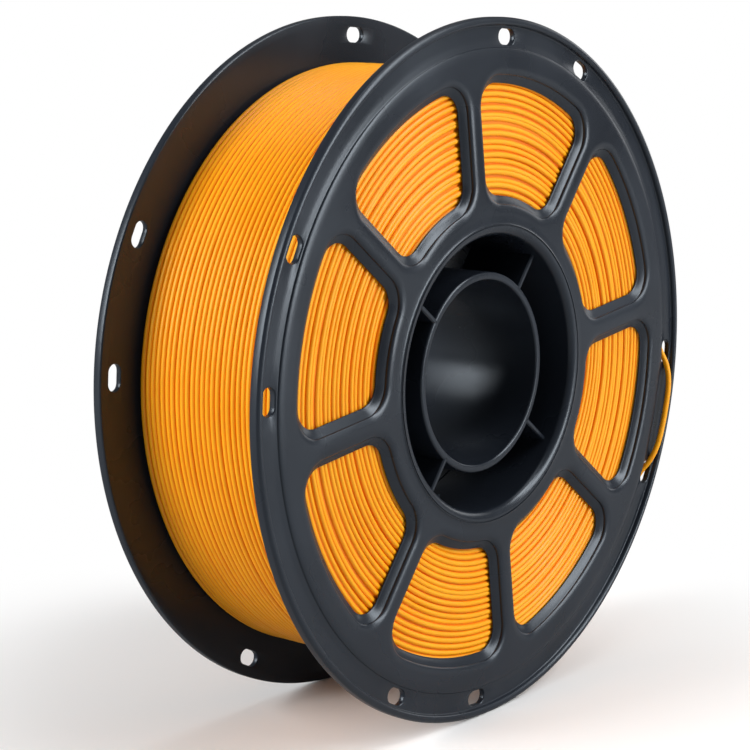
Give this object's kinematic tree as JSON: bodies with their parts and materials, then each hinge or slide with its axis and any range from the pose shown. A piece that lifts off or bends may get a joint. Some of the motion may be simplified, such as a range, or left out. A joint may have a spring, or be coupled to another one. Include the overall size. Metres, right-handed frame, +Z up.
{
  "type": "filament spool",
  "caption": "Spool with two windowed flanges, a round bore for a holder, and amber filament wound between them, its end held in the rim.",
  "frame": {"origin": "on the bore axis, half way between the two flanges", "axes": "+Y along the bore, from the flange that the picture shows to the one behind; +Z up, as the spool stands on its rims; +X to the right seen from the front"},
  "size_m": [0.2, 0.0622, 0.2],
  "materials": {
    "flange_plastic": "satin charcoal moulding",
    "filament": "amber, half gloss"
  },
  "bodies": {
    "root": {"flange_half_front": "flange_plastic", "flange_half_rear": "flange_plastic", "winding_inner_layers": "filament", "winding_outer_layer": "filament", "strand_end": "filament"}
  },
  "joints": []
}
